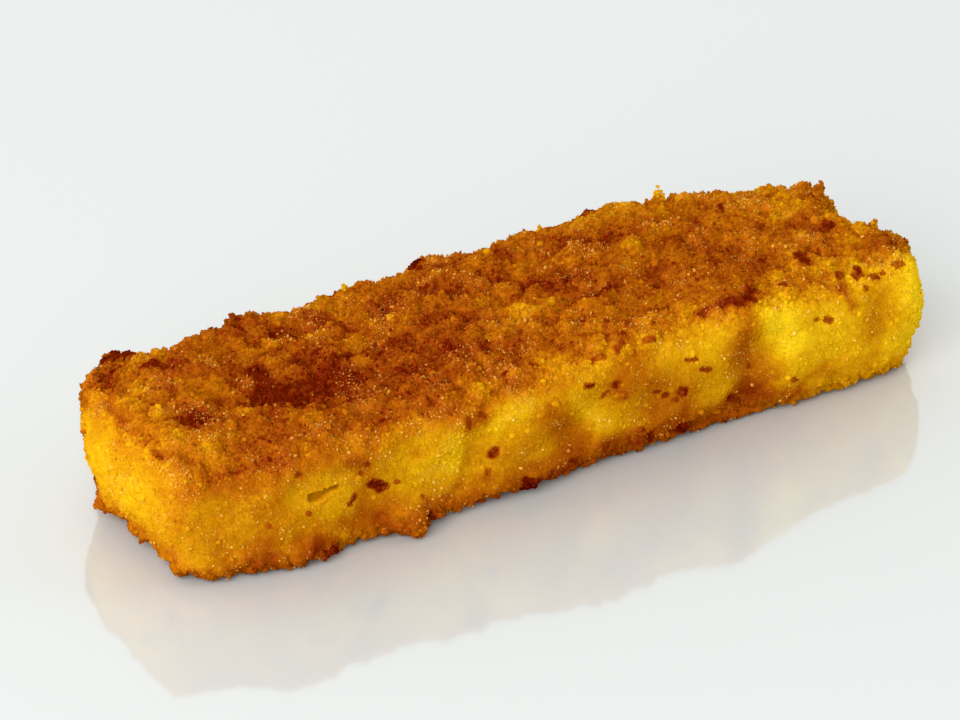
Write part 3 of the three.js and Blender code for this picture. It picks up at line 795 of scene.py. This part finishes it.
def lay_flat(piece, faces, count):
    """The flat layout: each crumb has a square of its own, and each face half of a small square in
    it, five small squares to a row."""
    side = math.ceil(math.sqrt(count))
    face = np.arange(len(faces))
    rows = len(faces) // 10
    place = np.stack([face // 2 % 5 / 5, face // 10 / rows], 1)[:, None, :]
    halves = np.array([[[0.1, 0.1], [0.8, 0.1], [0.1, 0.8]], [[0.9, 0.9], [0.2, 0.9], [0.9, 0.2]]])
    within = place + halves[face % 2] * [1 / 5, 1 / rows]
    crumb = np.arange(count)
    square = np.stack([crumb % side, crumb // side], 1)[:, None, None, :]
    layer = piece.data.uv_layers.new(name="OFBake")
    layer.data.foreach_set("uv", ((square + within) / side).astype(np.float32).ravel())


def make_crumbs(kind, centres, normals, radii, attributes, rng):
    """Many crumbs as one mesh. Each is its kind's form, with its corners moved in or out at random,
    stretched along its three axes, turned at random and put in its place. None goes under the
    table."""
    corners, faces = kind.shape
    count, per_crumb = len(centres), len(corners)
    uneven = 1 + CORNERS_IN_OR_OUT * (2 * rng.random((count, per_crumb, 1)) - 1)
    stretched = corners * uneven * (1 + kind.stretch * (2 * rng.random((count, 1, 3)) - 1))
    points = np.einsum("nij,nkj->nki", turns(rng, count), stretched) * radii[:, None, None]
    points += centres[:, None, :]
    points[..., 2] = np.maximum(points[..., 2], 0)
    all_faces = faces + per_crumb * np.arange(count)[:, None, None]
    all_faces = all_faces.reshape(-1, 3).tolist()
    repeated = {key: np.repeat(values, per_crumb) for key, values in attributes.items()}
    piece = new_mesh_object(kind.name, points.reshape(-1, 3), all_faces, repeated)
    own = unit(points - centres[:, None, :])
    shading = unit(kind.fused * normals[:, None, :] + (1 - kind.fused) * own)
    piece.data.normals_split_custom_set_from_vertices(shading.reshape(-1, 3))
    lay_flat(piece, faces, count)
    return piece


def seeds(rng, spacing, depth):
    """Places for crumbs all over the crust, about evenly apart: a grid of that spacing, moved at
    random within its cells, with cells near the ends' middles kept in the share that their smaller
    size allows."""
    columns, rows = round(ROUND / spacing), round(TRAVEL / spacing)
    u, v = np.meshgrid(np.arange(columns), np.arange(rows))
    u = (u.ravel() + rng.random(u.size)) * ROUND / columns
    v = (v.ravel() + rng.random(v.size)) * TRAVEL / rows
    cap = np.interp(v, PROFILE_ALONG, PROFILE_ROWS[:, 2])
    inset = np.interp(v, PROFILE_ALONG, PROFILE_ROWS[:, 1])
    kept = rng.random(len(u)) < cap * (1 - inset / (WIDTH / 2))
    s = crust_surface(u[kept], v[kept], depth)
    # The crumbs take the crust's level, painted shade and light included.
    s.brown = browning(s)
    s.top = topness(s.normal)
    s.foot = smooth(1.2 - s.base[:, 2] / 2)
    return s


def shared_out(s, rng):
    """The kinds of crumb, each with the places that it gets. Burnt crumbs lie on the burnt spots,
    pale flakes, painted as glints, in clouds, thickest on the top, and larger crumbs mostly at the
    foot. The fine ones take the rest. The underside and the back have fewer, and the slit has none."""
    draw, second = rng.random(len(s.brown)), rng.random(len(s.brown))
    shown = 1 - 0.7 * (s.normal[:, 2] < -0.7) - 0.4 * (s.normal[:, 1] > 0.7)
    free = (s.slit < 0.02) & (draw < shown)
    burnt = free & (in_marks(s.base, s.normal, BURNT_SPOTS) > 0.4) & (second < 0.5)
    clouds = smooth(noise(s.base + 50, 2.4) * 1.5 + 0.5 * noise(s.base + 9, 0.9) - 0.1)
    strewn = 0.04 + 0.75 * clouds * (0.3 + 0.7 * s.top)
    strewn += 0.12 * s.foot + 0.4 * pallor(s)
    flakes = free & ~burnt & (second < strewn)
    large = free & ~burnt & ~flakes & (second > 0.988 - 0.01 * s.top - 0.07 * s.foot)
    fine = free & ~burnt & ~flakes & ~large
    on_sides, on_top = fine & (s.top < 0.5), fine & (s.top >= 0.5)
    ball, tip = icosahedron(), double_pyramid()
    # The flakes are real tiny crumbs whose pale colour is a painted glint.
    flat_on_top = {"lift": 1.01, "fused": 0.4, "stretch": 0.85, "flake": True}
    return [
        (CrumbKind("crumbs_golden", tip), on_sides & (draw < 0.5)),
        (CrumbKind("crumbs_amber", tip, browner=0.02), on_sides & (draw >= 0.5)),
        (CrumbKind("crumbs_toasted", tip, 1.2, browner=-0.03, lift=0.1), on_top & (draw < 0.5)),
        (CrumbKind("crumbs_browned", tip, 1.2, browner=0.03), on_top & (draw >= 0.5)),
        (CrumbKind("crumbs_large", ball, 1.7, browner=-0.05, lift=-0.1, fused=0.4), large),
        (CrumbKind("crumbs_glistening", tip, 0.52, 0.3, **flat_on_top), flakes),
        (CrumbKind("crumbs_burnt", ball, fused=0.3), burnt),
    ]


def make_scattered(kind, s, fit, crumb, rng):
    """Crumbs of one kind at the places of s. Each is a fine crumb's radius times its kind's size,
    times e to a random power, and takes the crust's level, painted shade and light included, with
    some spread. Flakes are painted paler by random amounts, as painted glints, least on the top and
    the ends."""
    count = len(s.brown)
    radii = crumb * kind.size * np.exp(kind.spread * rng.normal(size=count))
    raised = rng.uniform(CRUMBS_FROM, CRUMBS_TO, count)
    raised += STANDING_RISE * (rng.random(count) < STANDING_SHARE)
    raised = (raised + kind.lift) * radii
    varied = 0.015 + (0.01 + abs(kind.browner)) * s.top + 0.02 * s.foot
    tone = s.brown + kind.browner + varied * rng.normal(size=count)
    paler = 0 * tone
    # Painted glint: a flake's colour is mixed towards the pale flake colours.
    if kind.flake:
        paler = (0.15 + 0.55 * rng.random(count)) * (1 - 0.2 * s.top - 0.3 * np.abs(s.normal[:, 0]))
    shift, scale = fit
    centres = (s.point + s.normal * raised[:, None] + shift) * scale
    attributes = {"browning": np.clip(tone, 0, 1), "pallor": paler}
    return make_crumbs(kind, centres, s.normal, radii, attributes, rng)


def make_heaps(s, fit, crumb, rng):
    """Heaps of crumbs that stand out from the outline, as one mesh. The places near a heap's middle
    each get a stack of crumbs, up to the heap's height, which falls off with the squared distance."""
    kind = CrumbKind("crumbs_heaped", icosahedron(), 1.25, 0.25, fused=0.55)
    centres, tones, normals = [], [], []
    for middle, radius, height, browner in STANDING_HEAPS:
        nearest = np.argmin(np.linalg.norm(s.base - middle, axis=1))
        away = np.linalg.norm(s.base - s.base[nearest], axis=1) / radius
        chosen = np.repeat(np.flatnonzero(away < 1), CRUMBS_IN_STACK)
        lifted = height * (1 - away[chosen] ** 2) * rng.random(len(chosen))
        centres.append(s.point[chosen] + s.normal[nearest] * lifted[:, None])
        tones.append(np.clip(s.brown[chosen] + browner + 0.06 * rng.normal(size=len(chosen)), 0, 1))
        normals.append(s.normal[chosen])
    shift, scale = fit
    centres = (np.concatenate(centres) + shift) * scale
    radii = kind.size * crumb * np.exp(kind.spread * rng.normal(size=len(centres)))
    tones = np.concatenate(tones)
    attributes = {"browning": tones, "pallor": 0 * tones}
    return make_crumbs(kind, centres, np.concatenate(normals), radii, attributes, rng)


# ---------------------------------------------------------------------------------------------
# Materials
# ---------------------------------------------------------------------------------------------
def add(tree, kind, inputs=(), **settings):
    """A shader node with its settings and inputs. An input is a value, or a socket to link."""
    node = tree.nodes.new(kind)
    for key, value in settings.items():
        setattr(node, key, value)
    for key, value in dict(inputs).items():
        if isinstance(value, bpy.types.NodeSocket):
            tree.links.new(value, node.inputs[key])
        else:
            node.inputs[key].default_value = value
    return node


def maths(tree, operation, a, b, clamp=False):
    """Two values or sockets put together by one arithmetic operation."""
    return add(tree, "ShaderNodeMath", {0: a, 1: b}, operation=operation, use_clamp=clamp).outputs[0]


def mixed(tree, share, a, b):
    """The colour that is a where the share is 0 and b where it is 1."""
    return add(tree, "ShaderNodeMix", {"Factor": share, 6: a, 7: b}, data_type="RGBA").outputs[2]


# How brown the crust is where it has each of its colours.
BROWNING_STEPS = [
    (0.0, "gold"), (0.22, "amber"), (0.5, "orange"), (0.7, "toasted"), (0.85, "browned"), (1.0, "burnt")
]
SPECKLE = 0.14  # how far the fine noise moves the browning
SMOOTHEST, ROUGHEST = 0.16, 0.34  # the crust's roughness, from patch to patch


def noise_in_mm(tree, in_mm, scale, detail):
    """Noise with that many waves to a millimetre."""
    inputs = {"Vector": in_mm, "Scale": scale, "Detail": detail}
    return add(tree, "ShaderNodeTexNoise", inputs).outputs["Fac"]


def attribute(tree, name):
    """The value that the mesh's points carry under that name."""
    return add(tree, "ShaderNodeAttribute", attribute_name=name).outputs["Fac"]


def browned_colour(tree, level, colours):
    """The crust's colours one after another, from gold where the level is 0 to burnt where it is 1."""
    ramp = add(tree, "ShaderNodeValToRGB", {"Fac": level})
    stops = ramp.color_ramp.elements
    for at, _ in BROWNING_STEPS[1:-1]:
        stops.new(at)
    for stop, (at, key) in zip(stops, BROWNING_STEPS):
        stop.position = at
        stop.color = (*getattr(colours, key), 1)
    return ramp.outputs["Color"]


def new_material(name):
    """An empty node material and its tree."""
    material = bpy.data.materials.new(name)
    material.use_nodes = True
    material.node_tree.nodes.clear()
    return material, material.node_tree


def finish_material(tree, inputs):
    """Ends a material with one shader of those inputs."""
    shader = add(tree, "ShaderNodeBsdfPrincipled", inputs)
    add(tree, "ShaderNodeOutputMaterial", {"Surface": shader.outputs[0]})


def crust_material(name, colours, bump=0.5, glow=0.3):
    """Fried crumb. The colour follows the crust's level from gold to burnt, with painted shade and light
    in it and fine noise on it. It turns to the slit's colour, a painted shade, in the slit, and to a
    flake's, a painted glint, where the flakes lie thick, a paler one where the crust is less brown.
    Light goes a short way into it and none glances off, and the bumps are noise of about 0.3 mm."""
    material, tree = new_material(name)
    place = add(tree, "ShaderNodeTexCoord").outputs["Object"]
    in_mm = add(tree, "ShaderNodeMapping", {"Vector": place, "Scale": (1 / MM,) * 3}).outputs[0]
    fine = noise_in_mm(tree, in_mm, 3.4, 3.0)
    both = maths(tree, "ADD", noise_in_mm(tree, in_mm, 1.3, 2.0), fine)
    change = maths(tree, "MULTIPLY", maths(tree, "SUBTRACT", both, 1.0), SPECKLE)
    level = maths(tree, "ADD", attribute(tree, "browning"), change, clamp=True)
    crust = browned_colour(tree, level, colours)
    # Painted shade: the shallow slit is coloured as its inside looks in its own shade.
    crust = mixed(tree, attribute(tree, "slit"), crust, (*colours.slit, 1))
    # The flake colours are painted glints.
    flake = mixed(tree, level, (*colours.pale, 1), (*colours.flake, 1))
    gloss = {"Value": fine, "From Min": 0.3, "From Max": 0.7, "To Min": SMOOTHEST, "To Max": ROUGHEST}
    pits = noise_in_mm(tree, in_mm, 3.0, 2.0)
    bumps = add(tree, "ShaderNodeBump", {"Height": pits, "Strength": bump, "Distance": 0.22 * MM})
    finish_material(
        tree,
        {
            "Base Color": mixed(tree, attribute(tree, "pallor"), crust, flake),
            "Roughness": add(tree, "ShaderNodeMapRange", gloss).outputs[0],
            "Normal": bumps.outputs[0],
            "IOR": 1.45,
            "Specular IOR Level": 0.0,
            "Subsurface Weight": glow,
            "Subsurface Radius": (1.0, 0.45, 0.08),
            "Subsurface Scale": 0.8 * MM,
        },
    )
    return material


def table_material(colour):
    """A glossy white sheet of one colour, with faint unevenness in its gloss."""
    material, tree = new_material("white_gloss_table")
    place = add(tree, "ShaderNodeTexCoord").outputs["Object"]
    cloud = add(tree, "ShaderNodeTexNoise", {"Vector": place, "Scale": 9.0, "Detail": 1.0}).outputs["Fac"]
    gloss = {"Value": cloud, "To Min": 0.07, "To Max": 0.1}
    finish_material(
        tree,
        {
            "Base Color": (*colour, 1),
            "Roughness": add(tree, "ShaderNodeMapRange", gloss).outputs[0],
            "IOR": 1.5,
            "Coat Weight": 0.6,
            "Coat IOR": 1.7,
            "Coat Roughness": 0.06,
        },
    )
    return material


def finish_piece(piece, material):
    """Gives the piece its material and says which body it rides on."""
    piece.data.materials.append(material)
    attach(piece, BODY)


# ---------------------------------------------------------------------------------------------
# Settings
# ---------------------------------------------------------------------------------------------
def colour_property(name, description, default):
    """A colour setting, as linear red, green and blue."""
    return bpy.props.FloatVectorProperty(
        name=name, description=description, default=default, size=3, min=0.0, max=1.0, subtype="COLOR"
    )


def number_property(name, description, default, **kind):
    """A number setting that is never below 0."""
    return bpy.props.FloatProperty(name=name, description=description, default=default, min=0.0, **kind)


def size_property(name, description, default):
    """A length setting, in metres."""
    return number_property(name, description, default, precision=5, unit="LENGTH", subtype="DISTANCE")


def turn_property(name, description, degrees):
    """An angle setting, given in degrees and kept in radians."""
    return bpy.props.FloatProperty(
        name=name, description=description, default=math.radians(degrees), unit="ROTATION", subtype="ANGLE"
    )


LOW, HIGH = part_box(NODE)


class FishStickSizes(bpy.types.PropertyGroup):
    """Sizes of the stick and its crumbs."""

    length: size_property("Length", "Along the stick, clumps included", HIGH.x - LOW.x)
    width: size_property("Width", "From the front side to the back", HIGH.y - LOW.y)
    height: size_property("Height", "From the table to the highest clump", HIGH.z - LOW.z)
    relief: number_property("Relief", "Depth of the crumbs' relief, 1 as fried", 1.0, subtype="FACTOR")
    spacing: size_property("Crumb spacing", "Distance between the crumbs fried onto the crust", 0.27 * MM)
    crumb: size_property("Crumb size", "Radius of a fine crumb", 0.16 * MM)


class FishStickColours(bpy.types.PropertyGroup):
    """Colours of the crust, from the palest to the burnt ones."""

    # The two flake colours are painted glints on the flakes.
    pale: colour_property("Pale flake", "Glistening flakes on the golden sides", (0.98, 0.68, 0.12))
    flake: colour_property("Toasted flake", "Glistening flakes on the browned top", (0.92, 0.39, 0.055))
    gold: colour_property("Gold", "The palest gold of the sides", (0.95, 0.605, 0.011))
    amber: colour_property("Amber", "The amber of the sides and ends", (0.74, 0.36, 0.006))
    orange: colour_property("Orange", "The golden brown where the sides meet the top", (0.5, 0.148, 0.005))
    toasted: colour_property("Toasted", "The toasted top", (0.345, 0.067, 0.005))
    browned: colour_property("Browned", "The darkest brown places", (0.185, 0.017, 0.004))
    burnt: colour_property("Burnt", "Burnt crumbs", (0.1, 0.007, 0.001))
    # Painted shade: the inside of the shallow slit is coloured darker, as it looks in its own shade.
    slit: colour_property("Slit", "Inside the steam slit", (0.385, 0.143, 0.004))


class FishStickStudio(bpy.types.PropertyGroup):
    """The table, the lights and the camera."""

    table: colour_property("Table", "The table's white", (0.605, 0.636, 0.626))
    fill: number_property("Fill", "Strength of the even light all round", 0.93, subtype="FACTOR")
    key: number_property("Key", "Power of the soft lamp on the left", 8.5, unit="POWER")
    right: number_property("Right", "Power of the soft lamp on the right", 2.4, unit="POWER")
    backlight: number_property("Backlight", "How much stronger the even light is from behind", 0.72)
    azimuth: turn_property("Azimuth", "Camera's turn from the front, negative to the left", -32.32)
    elevation: turn_property("Elevation", "Camera's height above the horizon", 28.6)
    distance: size_property("Distance", "From the camera to the point it looks at", 0.6475)
    lens: number_property("Lens", "Focal length on a sensor 36 mm wide", 238.6, unit="CAMERA")


class FishStickSettings(bpy.types.PropertyGroup):
    """Everything that the panel shows."""

    sizes: bpy.props.PointerProperty(type=FishStickSizes)
    colours: bpy.props.PointerProperty(type=FishStickColours)
    studio: bpy.props.PointerProperty(type=FishStickStudio)


# ---------------------------------------------------------------------------------------------
# Operators
# ---------------------------------------------------------------------------------------------
class FISHSTICK_OT_crust(bpy.types.Operator):
    """Builds the crust as one closed relief that stands for the plain solid"""

    bl_idname = "fish_stick.crust"
    bl_label = "Build Crust"

    def execute(self, context):
        settings = context.scene.fish_stick
        crust = make_crust(fit_to_box(settings.sizes), settings.sizes.relief)
        finish_piece(crust, crust_material("fried_crust", settings.colours))
        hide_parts(NODE)
        return {"FINISHED"}


class FISHSTICK_OT_crumbs(bpy.types.Operator):
    """Strews the loose crumbs over the crust and heaps some up along its edges"""

    bl_idname = "fish_stick.crumbs"
    bl_label = "Scatter Crumbs"

    def execute(self, context):
        settings = context.scene.fish_stick
        sizes, colours = settings.sizes, settings.colours
        fit = fit_to_box(sizes)
        crumb = sizes.crumb / MM
        rng = np.random.default_rng(SEED)
        s = seeds(rng, sizes.spacing / MM, sizes.relief)
        for kind, places in shared_out(s, rng):
            most = MOST_FACES // len(kind.shape[1])
            chosen = rng.permutation(np.flatnonzero(places))[:most]
            piece = make_scattered(kind, only(s, chosen), fit, crumb, rng)
            finish_piece(piece, crust_material(kind.name, colours, bump=0.12, glow=0.0))
        piece = make_heaps(s, fit, crumb, rng)
        finish_piece(piece, crust_material("crumbs_heaped", colours, bump=0.12, glow=0.1))
        return {"FINISHED"}


# ---------------------------------------------------------------------------------------------
# The studio
# ---------------------------------------------------------------------------------------------
def place_and_aim(thing, turn, rise, distance, aim=(0, 0, 0)):
    """Puts a lamp or a camera at a distance from a point and turns it to face that point. The way
    to it is the sine of the turn along X and minus its cosine along Y, both by the cosine of the
    rise, and the sine of the rise along Z."""
    flat = math.cos(rise)
    back = Vector((math.sin(turn) * flat, -math.cos(turn) * flat, math.sin(rise)))
    thing.location = Vector(aim) + back * distance
    thing.rotation_euler = back.to_track_quat("Z", "Y").to_euler()
    bpy.context.scene.collection.objects.link(thing)


def soft_lamp(name, place, power):
    """A square lamp that faces the stick, and that the table doesn't mirror."""
    turn, rise, distance, width = place
    data = bpy.data.lights.new(name, "AREA")
    data.size = width
    data.energy = power
    data.color = LAMP_COLOUR
    lamp = bpy.data.objects.new(name, data)
    lamp.visible_glossy = False
    place_and_aim(lamp, math.radians(turn), math.radians(rise), distance)


def white_table(colour):
    """A flat square a little below the stick's underside."""
    half = TABLE_HALF_WIDTH
    corners = np.array([(-half, -half, 0), (half, -half, 0), (half, half, 0), (-half, half, 0)])
    table = new_mesh_object("table", corners - [0, 0, TABLE_BELOW], [(0, 1, 2, 3)], {})
    table.data.materials.append(table_material(colour))
    return table


def even_light(fill, backlight):
    """White light all round. It falls from the horizon up with the height of the direction that it
    comes from, and grows with the share of that direction that points to the back."""
    world = bpy.data.worlds.new("soft_box")
    world.use_nodes = True
    tree = world.node_tree
    direction = add(tree, "ShaderNodeTexCoord").outputs["Generated"]
    height = add(tree, "ShaderNodeSeparateXYZ", {0: direction}).outputs["Z"]
    fall = {"Value": height, "To Min": fill * EVEN_LIGHT_LOW, "To Max": fill * EVEN_LIGHT_HIGH}
    even = add(tree, "ShaderNodeMapRange", fall).outputs[0]
    to_the_back = {0: direction, 1: BACKLIGHT_FROM}
    behind = add(tree, "ShaderNodeVectorMath", to_the_back, operation="DOT_PRODUCT").outputs["Value"]
    share = maths(tree, "ADD", maths(tree, "MULTIPLY", behind, backlight), 1.0)
    background = tree.nodes["Background"]
    background.inputs["Color"].default_value = (1.0, 1.0, 1.0, 1)
    tree.links.new(maths(tree, "MULTIPLY", even, share), background.inputs["Strength"])
    return world


def long_lens_camera(studio):
    """A camera that looks down at the stick from the front left."""
    data = bpy.data.cameras.new("camera")
    data.lens = studio.lens
    data.sensor_width = 36.0
    data.clip_start = 0.01
    data.clip_end = 20.0
    camera = bpy.data.objects.new("camera", data)
    place_and_aim(camera, studio.azimuth, studio.elevation, studio.distance, Vector(AIM) * MM)
    return camera


class FISHSTICK_OT_studio(bpy.types.Operator):
    """Sets the pale glossy table, the soft lights and the camera"""

    bl_idname = "fish_stick.studio"
    bl_label = "Build Studio"

    def execute(self, context):
        studio = context.scene.fish_stick.studio
        table = white_table(studio.table)
        soft_lamp("key_light", KEY_LAMP, studio.key)
        soft_lamp("right_light", RIGHT_LAMP, studio.right)
        context.scene.world = even_light(studio.fill, studio.backlight)
        view = context.scene.view_settings
        view.view_transform = "Standard"
        view.use_curve_mapping = True
        view.curve_mapping.black_level = (BLACK_LEVEL,) * 3
        view.curve_mapping.update()
        context.scene.camera = long_lens_camera(studio)
        return {"FINISHED"}


class FISHSTICK_PT_panel(bpy.types.Panel):
    """The settings and the steps, in the order in which they are run"""

    bl_idname = "FISHSTICK_PT_panel"
    bl_label = "Fish Stick"
    bl_space_type = "VIEW_3D"
    bl_region_type = "UI"
    bl_category = "Fish Stick"

    def draw(self, context):
        settings = context.scene.fish_stick
        for group in (settings.sizes, settings.colours, settings.studio):
            box = self.layout.box()
            for key in group.__annotations__:
                box.prop(group, key)
        for operator in OPERATORS:
            self.layout.operator(operator.bl_idname)


OPERATORS = [FISHSTICK_OT_studio, FISHSTICK_OT_crust, FISHSTICK_OT_crumbs]
GROUPS = [FishStickSizes, FishStickColours, FishStickStudio, FishStickSettings]
CLASSES = [*GROUPS, *OPERATORS, FISHSTICK_PT_panel]


def register():
    """Registers the classes and puts the settings on the scene."""
    for cls in CLASSES:
        bpy.utils.register_class(cls)
    bpy.types.Scene.fish_stick = bpy.props.PointerProperty(type=FishStickSettings)


def unregister():
    """Takes the settings and the classes away again."""
    del bpy.types.Scene.fish_stick
    for cls in reversed(CLASSES):
        bpy.utils.unregister_class(cls)


def main():
    """Runs every step in order."""
    register()
    bpy.ops.fish_stick.studio()
    bpy.ops.fish_stick.crust()
    bpy.ops.fish_stick.crumbs()


if __name__ == "__main__":
    main()
